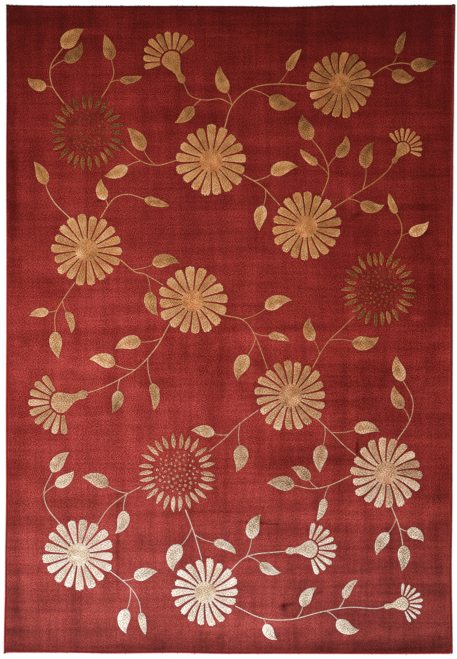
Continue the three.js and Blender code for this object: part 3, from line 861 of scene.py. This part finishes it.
# Each stem: the points of its route, then its twigs. A twig's columns: its place along the stem as a share,
# its side (1 left, -1 right, 0 straight on), its length, the leaf's or bud's length, and which it is.
STEMS = [
    ([-0.02 + 0.838j, 0.01 + 0.93j, 0.09 + 1.0j, 0.2 + 1.02j, 0.305 + 1.01j],
     [(0.22, 1, 0.06, 0.11, "leaf"), (0.45, -1, 0.09, 0.112, "leaf"), (0.72, 1, 0.07, 0.104, "bud")]),
    ([0.01 + 0.93j, -0.04 + 0.955j, -0.105 + 0.95j] + into_cup(0),
     [(0.55, 1, 0.046, 0.096, "leaf")]),
    ([0.59 + 1.05j, 0.64 + 1.085j, 0.7 + 1.1j, 0.745 + 1.095j],
     [(0.55, 1, 0.05, 0.096, "bud"), (0.35, -1, 0.04, 0.096, "leaf"), (1.0, 0, 0.0, 0.104, "leaf")]),
    ([-0.222 + 0.7j, -0.3 + 0.68j, -0.37 + 0.7j, -0.44 + 0.76j],
     [(0.35, -1, 0.08, 0.112, "leaf"), (0.6, 1, 0.062, 0.1, "leaf")]),
    ([-0.69 + 0.94j, -0.735 + 1.01j, -0.74 + 1.09j, -0.69 + 1.165j],
     [(0.3, 1, 0.03, 0.084, "leaf"), (0.6, -1, 0.07, 0.106, "leaf"), (1.0, 0, 0.0, 0.112, "leaf")]),
    ([-0.53 + 0.965j, -0.5 + 1.01j, -0.48 + 1.06j, -0.49 + 1.115j],
     [(0.45, -1, 0.04, 0.092, "bud"), (1.0, 0, 0.0, 0.104, "leaf")]),
    ([0.06 + 0.64j, 0.13 + 0.6j, 0.17 + 0.56j, 0.205 + 0.52j],
     [(0.25, 1, 0.08, 0.112, "leaf"), (0.55, -1, 0.07, 0.1, "leaf")]),
    ([0.44 + 0.51j, 0.52 + 0.56j, 0.6 + 0.61j] + into_cup(1),
     [(0.22, -1, 0.056, 0.1, "leaf"), (0.45, 1, 0.092, 0.112, "leaf")]),
    ([0.385 + 0.56j, 0.41 + 0.64j, 0.39 + 0.72j, 0.34 + 0.79j],
     [(0.35, 1, 0.066, 0.096, "bud"), (0.48, -1, 0.056, 0.096, "leaf"), (1.0, 0, 0.0, 0.108, "leaf")]),
    ([-0.66 + 0.465j, -0.72 + 0.52j, -0.75 + 0.57j, -0.76 + 0.6j],
     [(1.0, 0, 0.0, 0.1, "leaf")]),
    ([-0.53 + 0.47j, -0.48 + 0.54j, -0.42 + 0.56j, -0.35 + 0.54j],
     [(0.25, 1, 0.03, 0.084, "leaf"), (1.0, 0, 0.0, 0.104, "bud")]),
    ([-0.45 + 0.29j, -0.39 + 0.24j, -0.35 + 0.23j, -0.285 + 0.19j],
     [(0.3, 1, 0.09, 0.112, "leaf"), (0.62, -1, 0.07, 0.104, "leaf")]),
    ([-0.02 + 0.06j, 0.06 + 0.04j, 0.11 - 0.03j, 0.15 - 0.15j],
     [(0.25, 1, 0.11, 0.112, "leaf"), (0.48, 1, 0.066, 0.092, "bud"), (0.55, -1, 0.084, 0.108, "leaf")]),
    ([0.35 - 0.15j, 0.4 - 0.06j, 0.47 + 0.01j, 0.53 + 0.07j],
     [(0.22, 1, 0.066, 0.096, "leaf"), (0.48, -1, 0.096, 0.112, "leaf")]),
    ([-0.25 + 0.02j, -0.3 - 0.07j, -0.37 - 0.15j, -0.445 - 0.2j] + into_cup(2),
     [(0.14, -1, 0.09, 0.108, "leaf"), (0.36, 1, 0.11, 0.112, "bud"), (0.52, -1, 0.088, 0.104, "leaf"),
      (0.68, 1, 0.05, 0.092, "leaf")]),
    ([-0.64 + 0.19j, -0.69 + 0.12j, -0.72 + 0.06j, -0.72 - 0.01j],
     [(0.4, 1, 0.05, 0.092, "bud"), (0.6, -1, 0.036, 0.08, "leaf"), (1.0, 0, 0.0, 0.106, "leaf")]),
    ([0.12 - 0.33j, 0.04 - 0.39j, -0.02 - 0.45j, -0.08 - 0.5j],
     [(0.35, 1, 0.092, 0.108, "leaf"), (0.6, -1, 0.06, 0.092, "leaf")]),
    ([0.37 - 0.37j, 0.43 - 0.43j, 0.48 - 0.48j, 0.53 - 0.52j],
     [(0.2, -1, 0.08, 0.108, "leaf"), (0.36, 1, 0.1, 0.104, "leaf")]),
    ([-0.37 - 0.65j, -0.44 - 0.69j, -0.5 - 0.74j, -0.54 - 0.8j],
     [(0.25, -1, 0.09, 0.11, "leaf"), (0.28, 1, 0.07, 0.1, "leaf")]),
    ([-0.18 - 0.745j, -0.15 - 0.82j, -0.13 - 0.88j, -0.11 - 0.945j],
     [(0.35, -1, 0.09, 0.112, "leaf"), (0.5, 1, 0.088, 0.104, "bud")]),
    ([0.015 - 0.99j, 0.06 - 0.945j, 0.115 - 0.925j] + into_cup(3),
     [(0.35, 1, 0.08, 0.104, "leaf"), (0.38, -1, 0.06, 0.092, "leaf")]),
    ([0.03 - 1.14j, 0.14 - 1.19j, 0.26 - 1.195j, 0.38 - 1.165j, 0.5 - 1.145j] + into_cup(4),
     [(0.2, -1, 0.026, 0.08, "leaf"), (0.42, 1, 0.056, 0.096, "leaf"), (0.62, -1, 0.06, 0.1, "leaf"),
      (0.7, 1, 0.05, 0.096, "bud")]),
    ([0.675 - 0.74j, 0.7 - 0.795j, 0.714 - 0.845j, 0.722 - 0.89j],
     [(0.55, 1, 0.036, 0.08, "leaf"), (0.3, -1, 0.07, 0.1, "leaf"), (1.0, 0, 0.0, 0.1, "leaf")]),
    ([-0.48 - 1.0j, -0.41 - 1.06j, -0.37 - 1.12j, -0.36 - 1.17j],
     [(0.3, 1, 0.05, 0.096, "leaf"), (0.5, -1, 0.09, 0.1, "leaf"), (1.0, 0, 0.0, 0.092, "bud")]),
    ([-0.7 - 0.8j, -0.75 - 0.74j, -0.765 - 0.67j, -0.73 - 0.59j],
     [(0.6, -1, 0.06, 0.096, "leaf"), (1.0, 0, 0.0, 0.104, "leaf")]),
    ([0.68 + 0.325j, 0.71 + 0.38j, 0.712 + 0.435j, 0.69 + 0.48j],
     [(0.45, -1, 0.036, 0.092, "leaf"), (1.0, 0, 0.0, 0.088, "bud")]),
    ([0.7 - 0.445j, 0.75 - 0.37j, 0.76 - 0.29j, 0.72 - 0.21j],
     [(0.35, 1, 0.06, 0.096, "leaf"), (1.0, 0, 0.0, 0.104, "leaf")]),
    ([0.497 - 0.6j, 0.42 - 0.64j, 0.345 - 0.655j, 0.27 - 0.64j],
     [(0.4, 1, 0.06, 0.096, "bud"), (0.6, -1, 0.05, 0.09, "leaf"), (1.0, 0, 0.0, 0.108, "leaf")]),
]
LEAF_WIDTH_SHARE = 0.52
BUD_WIDTH_SHARE = 0.34
LEAF_LENGTHENED = 1.06
# A twig turns away from its stem by the first angle, and curls on by the second over its length.
TWIG_STEPS = 8
TWIG_LEAVES_AT = math.radians(36)
TWIG_CURLS = math.radians(28)
# How far from a flower's rim a stem's end still counts as beside it, and how far inside the rim it then ends.
BESIDE_RIM = 20 * MM
INSIDE_RIM = 7 * MM


def smooth_curve(points):
    """A curve through all the points, with its bends shared between neighbours."""
    padded = [2 * points[0] - points[1]] + points + [2 * points[-1] - points[-2]]
    line = []
    for a, b, c, d in zip(padded, padded[1:], padded[2:], padded[3:]):
        for k in range(CURVE_STEPS):
            t = k / CURVE_STEPS
            line.append(0.5 * (2 * b + (c - a) * t + (2 * a - 5 * b + 4 * c - d) * t ** 2
                               + (3 * b - a - 3 * c + d) * t ** 3))
    return line + [points[-1]]


def point_on(line, share):
    """The point at a share of a line's length, and the line's direction there."""
    lengths = [abs(b - a) for a, b in zip(line, line[1:])]
    left = share * sum(lengths)
    for a, b, length in zip(line, line[1:], lengths):
        if left <= length:
            return a + (b - a) * left / length, (b - a) / length
        left -= length
    return line[-1], (line[-1] - line[-2]) / abs(line[-1] - line[-2])


def add_stem(store, line, width_start, width_end, tone):
    """Adds a ribbon along a line, from one width to another."""
    length = sum(abs(b - a) for a, b in zip(line, line[1:]))

    def spot(s, v):
        point, way = point_on(line, s)
        return point + 1j * way * v * (width_start + (width_end - width_start) * s) / 2

    add_island(store, spot, length, width_start, tone, steps=max(4, round(length / (9 * MM))),
               steps_across=1, line_width=NARROW_CLIPPED_WIDTH)


def add_leaf(root, way, length, bend):
    """Adds a leaf with a long curved tip, a little slimmer or fuller than the next."""
    length = length * LEAF_LENGTHENED
    width = length * LEAF_WIDTH_SHARE * seeded.uniform(0.88, 1.08)
    add_blade(leaves, root, way, length, width, bend * 1.5, seeded.gauss(0, TONE_SPREAD * 1.6), far=1.15,
              rise=seeded.uniform(-0.30, 0.25))


def add_bud(root, way, length, bend):
    """Adds a bud: a slim closed flower between two short sepals."""
    tone = seeded.gauss(0, TONE_SPREAD)
    add_blade(buds, root, way, length, length * BUD_WIDTH_SHARE, bend, tone, near=0.45, far=0.75)
    for side in (-1, 1):
        add_blade(buds, root, way * cmath.exp(1j * side * 0.62), length * 0.42, length * 0.12, -side * 0.5,
                  tone - 0.06, steps=5)


def onto_rim(point):
    """Moves a stem's end that lies beside a full-face flower onto the flower's rim."""
    for centre, radius in [row[:2] for row in DAISIES + SEED_HEADS]:
        away = point - centre
        if abs(away) < radius + BESIDE_RIM:
            return centre + away / abs(away) * (radius - INSIDE_RIM)
    return point


stems = new_store()
leaves = new_store()
buds = new_store()
for route, twigs in STEMS:
    main_line = smooth_curve([onto_rim(point) for point in route])
    add_stem(stems, main_line, STEM_WIDTH, STEM_WIDTH * 0.8, seeded.gauss(0, TONE_SPREAD))
    for share, side, twig_length, tip_length, tip in twigs:
        root, way = point_on(main_line, share)
        bend = seeded.uniform(-0.5, 0.5) if side == 0 else -side * seeded.uniform(0.3, 0.9)
        if side != 0:
            twig = [root]
            for k in range(TWIG_STEPS):
                turn = side * (TWIG_LEAVES_AT + TWIG_CURLS * (k + 0.5) / TWIG_STEPS)
                twig.append(twig[-1] + way * cmath.exp(1j * turn) * twig_length / TWIG_STEPS)
            add_stem(stems, twig, TWIG_WIDTH, TWIG_WIDTH * 0.75, seeded.gauss(0, TONE_SPREAD))
            root, way = twig[-1], way * cmath.exp(1j * side * (TWIG_LEAVES_AT + TWIG_CURLS))
        (add_leaf if tip == "leaf" else add_bud)(root, way, tip_length, bend)
print(len(STEMS), "stems carry", sum(len(row[1]) for row in STEMS), "leaves and buds")

# %% [markdown]
# The flowers' silk is reeled, dyed in golds, and cut like the wool. Silk fibre is smooth, so its cut pile
# has a soft gloss and answers to lean much more than wool: the same yarn looks bronze at the head and ivory
# at the foot, and here that light is painted into its colour. As with the wool, one number is worked out
# first, here the silk's painted shine, from the place, the island's own tone, the painted light on its
# clipped edge, and the mottle of its knots. Two ramps, one of golds and one of ivories, give the colour,
# mixed from head to foot, where the ivory at the foot is painted sheen.

# %% Cut silk pile
GOLDS = [(0.0, "#3b260f"), (0.25, "#784a24"), (0.5, "#a8703d"), (0.75, "#cd9b65"), (1.0, "#ecd3ae")]
IVORIES = [(0.0, "#5d3d28"), (0.25, "#927356"), (0.5, "#c2aa8e"), (0.75, "#e1d7c8"), (1.0, "#faf8f4")]
# Painted shine along the rug, from the foot at 0 to the head at 1: brightest at the foot, where the light
# falls.
PAINTED_SHINE_FOOT_TO_HEAD = [(0.0, 0.83), (0.1, 0.79), (0.2, 0.71), (0.35, 0.68), (0.5, 0.66), (0.7, 0.64),
                      (0.8, 0.59), (0.9, 0.48), (1.0, 0.42)]
# The share of ivory along the rug: painted sheen, all ivory at the foot where the light falls.
PAINTED_IVORY_SHEEN_FOOT_TO_HEAD = [(0.0, 1.0), (0.15, 1.0), (0.32, 0.30), (0.44, 0.08), (0.6, 0.0)]
# How much the knots of the silk differ, least at the head, where the light lies flattest on them.
CONTRAST_FOOT_TO_HEAD = [(0.0, 0.95), (0.25, 0.95), (0.45, 0.72), (0.9, 0.52)]
# How much the silk's painted shine follows the wool's painted shade across the rug.
SHINE_WITH_FALL = -0.62
# What the warm tint of copper takes from the golds and from the ivories.
COPPER_ON_GOLD = "#f4bc98"
COPPER_ON_IVORY = "#ecd2b2"


def silk_material(name, less_shine, patches, mottle, painted_rim_light, copper, copper_spread):
    """Cut silk pile with a painted shine. less_shine and the rims' painted light, a highlight above 0 and
    shade below it, each have a value for the foot and one for the head.
    """
    material, tree, place = new_material(name)
    upward = share_of(tree, place, "Y", RUG_LENGTH / 2)
    shine = read_table(tree, upward, [(at, shine - less_shine[0] - (less_shine[1] - less_shine[0]) * at)
                                      for at, shine in PAINTED_SHINE_FOOT_TO_HEAD])
    fall = read_table(tree, share_of(tree, place, "X", RUG_WIDTH / 2), FALL_LEFT_TO_RIGHT)
    tone = add_node(tree, "Attribute", attribute_name="tone").outputs["Fac"]
    edge = add_node(tree, "Attribute", attribute_name="edge").outputs["Fac"]
    # Painted light on the islands' rims: a highlight above 0, shade below it.
    painted_rim_light_along = read_table(tree, upward, [(0.0, painted_rim_light[0]), (1.0, painted_rim_light[1])])
    for number, gain in ((fall, SHINE_WITH_FALL), (tone, 1.0), (edge, painted_rim_light_along)):
        shine = add_node(tree, "Math", [number, gain, shine], operation="MULTIPLY_ADD")
    shine = uneven(tree, place, 32 * MM, patches, shine)
    knots = knot_by_knot(tree, place, mottle, 0.0)
    contrast = read_table(tree, upward, CONTRAST_FOOT_TO_HEAD)
    shine = add_node(tree, "Math", [knots, contrast, shine], operation="MULTIPLY_ADD")
    gold, ivory = [fill_ramp(add_node(tree, "ValToRGB", [shine]), dyes) for dyes in (GOLDS, IVORIES)]
    # Ivory toward the foot: painted sheen of the light there.
    ivory_sheen_share = read_table(tree, upward, PAINTED_IVORY_SHEEN_FOOT_TO_HEAD)
    silk = add_node(tree, "Mix", {0: ivory_sheen_share, 6: gold, 7: ivory}, data_type="RGBA")
    tint = add_node(tree, "Mix", {0: ivory_sheen_share, 6: linear(COPPER_ON_GOLD), 7: linear(COPPER_ON_IVORY)},
                    data_type="RGBA")
    warmth = uneven(tree, place, 35 * MM, copper_spread, uneven(tree, place, 180 * MM, copper_spread, copper))
    warm = add_node(tree, "Mix", {0: warmth, 6: silk.outputs[2], 7: tint.outputs[2]},
                    data_type="RGBA", blend_type="MULTIPLY")
    fibres = uneven(tree, place, 4 * MM, 1.0, 0.5)
    relief = add_node(tree, "Bump", {"Height": fibres, "Strength": 0.4, "Distance": 0.6 * MM})
    surface = add_node(tree, "BsdfPrincipled", {
        "Base Color": warm.outputs[2], "Roughness": 0.6, "Specular IOR Level": 0.12, "Sheen Weight": 0.05,
        "Sheen Roughness": 0.35, "Sheen Tint": linear("#e8c9a0"), "Normal": relief})
    add_node(tree, "OutputMaterial", {"Surface": surface})
    return material


# The second pair in each call is the rims' painted light: a painted highlight on petals, seed heads and
# leaves, painted shade on the hearts.
petal_silk = silk_material("cut_silk_petals", (0.05, 0.065), 0.34, 0.66, (0.24, 0.16), -0.08, 1.6)
heart_silk = silk_material("cut_copper_silk_hearts", (0.02, 0.0), 0.70, 0.62, (-0.14, -0.12), 0.38, 1.0)
seed_silk = silk_material("cut_dark_silk_seed_heads", (0.08, 0.50), 0.40, 0.80, (0.30, 0.10), 0.35, 0.6)
leaf_silk = silk_material("cut_silk_leaves", (0.20, 0.19), 0.50, 0.72, (0.40, 0.28), 0.05, 1.0)
stem_silk = silk_material("cut_silk_stems", (-0.04, -0.08), 0.20, 0.50, (0.0, 0.0), 0.0, 0.5)

for name, store, material in [
    ("silk_daisy_petals", daisy_petals, petal_silk), ("silk_daisy_hearts", daisy_hearts, heart_silk),
    ("silk_seed_heads", seed_heads, seed_silk), ("silk_side_petals", side_petals, petal_silk),
    ("silk_side_cups", side_cups, petal_silk), ("silk_leaves", leaves, leaf_silk),
    ("silk_buds", buds, leaf_silk), ("silk_stems", stems, stem_silk),
]:
    numbers = {"tone": store["tone"], "edge": store["edge"]}
    make_piece(name, store["points"], store["faces"], material, numbers)
clipped_outline = make_piece("clipped_wool_outline", clipped_lines["points"], clipped_lines["faces"],
                             clipped_wool)

# %% [markdown]
# The four edges are overcast: a cord lies along the edge, and red wool yarn is wrapped round it and
# through the foundation, turn beside turn. Wraps are about 4 mm wide and slant a little. A plain tube with
# stripes would do from far off, but the edge is what the eye meets first from the side, so each wrap is
# modelled: the section is a flattened circle whose radius swells and dips once in every wrap.

# %% Overcast wool yarn
YARN_REDS = [(0.0, "#220303"), (0.3, "#4f0908"), (0.6, "#861b17"), (1.0, "#bb3d35")]
# The yarn's painted light and shade along the rug, from the foot at 0 to the head at 1: one table for the
# left and foot edges, painted lit where the light falls, and one for the right and head edges, painted in
# shade as they turn away from it.
LIT_YARN_TONE = [(0.0, 0.74), (0.02, 0.72), (0.5, 0.90), (0.8, 0.46), (1.0, 0.30)]
SHADED_YARN_TONE = [(0.0, 0.54), (0.5, 0.52), (0.985, 0.48), (0.994, 0.22), (1.0, 0.18)]
# A painted highlight on each wrap's crown, over painted shade in the dips between wraps.
CROWN_PAINTED_HIGHLIGHT = 0.12


def yarn_material(name, tone_along):
    """Wrapped wool yarn, with a painted highlight on each wrap's crown and painted shade in its dips."""
    material, tree, place = new_material(name)
    slow = read_table(tree, share_of(tree, place, "Y", RUG_LENGTH / 2), tone_along)
    crown = add_node(tree, "Attribute", attribute_name="crown").outputs["Fac"]
    tone = add_node(tree, "Math", [crown, CROWN_PAINTED_HIGHLIGHT, slow], operation="MULTIPLY_ADD")
    for size in (60 * MM, 6 * MM):
        tone = uneven(tree, place, size, 0.35, tone)
    red = fill_ramp(add_node(tree, "ValToRGB", [tone]), YARN_REDS)
    fibres = uneven(tree, place, 1.2 * MM, 1.0, 0.5)
    relief = add_node(tree, "Bump", {"Height": fibres, "Strength": 0.4, "Distance": 0.3 * MM})
    surface = add_node(tree, "BsdfPrincipled", {
        "Base Color": red, "Roughness": 0.85, "Specular IOR Level": 0.05, "Sheen Weight": 0.05,
        "Sheen Roughness": 0.5, "Sheen Tint": linear("#d8706a"), "Normal": relief})
    add_node(tree, "OutputMaterial", {"Surface": surface})
    return material


WRAP_PITCH = 4.0 * MM
STEPS_PER_WRAP = 6
AROUND = 12
WRAP_SLANT = 0.45
WRAP_DIP = 0.10
# At its two ends a cord closes over half its width, down to the square root of this share.
END_ROUNDING = 0.04
# The lowest points of a cord stay this far over the floor.
CORD_FOOT = 0.25 * MM


def wrapped_cord(name, line_at, start, end, material, node, flank_shade):
    """Makes a binding along a line from start to end, wrapped in yarn, with painted shade on its outer flank.
    """
    wraps = round((end - start) / WRAP_PITCH)
    rings = wraps * STEPS_PER_WRAP
    fullness = [seeded.uniform(0.93, 1.04) for _ in range(wraps + 2)]
    points, crowns = [], []
    for k in range(rings + 1):
        run = start + (end - start) * k / rings
        centre, outward = line_at(run)
        from_end = min(run - start, end - run, BINDING_WIDTH / 2) / (BINDING_WIDTH / 2)
        rounding = math.sqrt(max(END_ROUNDING, 1 - (1 - from_end) ** 2))
        for a in range(AROUND):
            angle = 2 * math.pi * a / AROUND
            turn = k / STEPS_PER_WRAP + WRAP_SLANT * math.cos(angle)
            crown = abs(math.sin(math.pi * turn))
            swelling = (1 - WRAP_DIP * (1 - crown)) * fullness[min(max(int(turn), 0), wraps + 1)]
            side = math.cos(angle) * BINDING_WIDTH / 2 * swelling * rounding
            rise = BINDING_HEIGHT / 2 * (1 + math.sin(angle) * swelling * rounding)
            x, y = centre + outward * side
            points.append((x, y, max(rise, CORD_FOOT)))
            # The outer flank is painted dark: painted shade next to the floor, most on the right and head.
            crowns.append(crown - flank_shade * max(0.0, math.cos(angle)) ** 2)
    faces = []
    for here in range(0, rings * AROUND, AROUND):
        for a, b in zip(range(AROUND), [*range(1, AROUND), 0]):
            faces.append((here + a, here + AROUND + a, here + AROUND + b, here + b))
    faces += [tuple(range(AROUND)), tuple(reversed(range(rings * AROUND, (rings + 1) * AROUND)))]
    piece = make_piece(name, points, faces, material, {"crown": crowns})
    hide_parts(node)
    return piece


def side_line(side):
    """The cord along the left or right edge, as a function of the place along the rug."""
    return lambda y: (Vector(on_rug(side * (RUG_WIDTH / 2 - BINDING_WIDTH / 2), y)), Vector((side, 0.0)))


def end_line(end):
    """The cord along the foot or head edge, as a function of the place across the rug."""
    return lambda x: (Vector(on_rug(x, end * (RUG_LENGTH / 2 - BINDING_WIDTH / 2))), Vector((0.0, end)))


# Two copies of the yarn: painted light on the left and foot bindings, painted shade on the right and head.
lit_yarn = yarn_material("overcast_wool_yarn_lit", LIT_YARN_TONE)
shaded_yarn = yarn_material("overcast_wool_yarn_shaded", SHADED_YARN_TONE)
side_reach = (-RUG_LENGTH / 2, RUG_LENGTH / 2)
end_reach = (-field_half_width, field_half_width)
bindings = [
    wrapped_cord("binding_left", side_line(-1), *side_reach, lit_yarn, "selvedge_left", flank_shade=0.5),
    wrapped_cord("binding_right", side_line(1), *side_reach, shaded_yarn, "selvedge_right", flank_shade=5.5),
    wrapped_cord("binding_head", end_line(1), *end_reach, shaded_yarn, "end_binding_head", flank_shade=3.2),
    wrapped_cord("binding_foot", end_line(-1), *end_reach, lit_yarn, "end_binding_foot", flank_shade=2.0),
]

# %% [markdown]
# Where wraps have worn through, mostly along the head and at the corners, short ends of yarn stick out
# over the floor, painted dark as shade. Each is one thin tapered spike of three sides that starts inside
# the cord and droops to the floor. A slow noise along the edge leaves some stretches without any.

# %% Loose yarn ends
MOST_LOOSE_ENDS = 280
END_THICKNESS = 2.8 * MM
CORNER = 0.919
# These ends are painted dark as shade, so their crown number is far below a wrap's 0 to 1.
LOOSE_CROWN = -3.0
loose_points, loose_faces, loose_crowns = [], [], []
for k in range(MOST_LOOSE_ENDS):
    if k % 6:
        x = seeded.uniform(-0.92, 0.92)
    else:
        x = seeded.choice([-CORNER, CORNER]) + seeded.uniform(-5, 5) * MM
    edge_point, outward = end_line(1 if seeded.random() < 0.8 else -1)(x)
    if noise.noise(Vector((x / (90 * MM), outward.y, 1.3))) < -0.08:
        continue
    aside = Vector((-outward.y, outward.x)) * END_THICKNESS
    root = edge_point + outward * 2.2 * MM
    tip = root + outward * seeded.uniform(3.0, 7.5) * MM + aside * seeded.uniform(-1.2, 1.2)
    base = len(loose_points)
    loose_points += [(*(root - aside), 1.0 * MM), (*(root + aside), 1.0 * MM), (*root, 4.5 * MM),
                     (*tip, 0.4 * MM)]
    loose_faces += [(base, base + 2, base + 1), (base, base + 1, base + 3), (base + 1, base + 2, base + 3),
                    (base + 2, base, base + 3)]
    loose_crowns += [LOOSE_CROWN] * 4
loose_ends = make_piece("loose_yarn_ends", loose_points, loose_faces, shaded_yarn,
                        {"crown": loose_crowns})

# %% [markdown]
# The rug is one sheet of cloth to whoever lays it, 1.85 m by 2.68 m, flat on the floor, and the silk, the
# clipped lines and the bindings go with it.

bpy.context.view_layer.update()
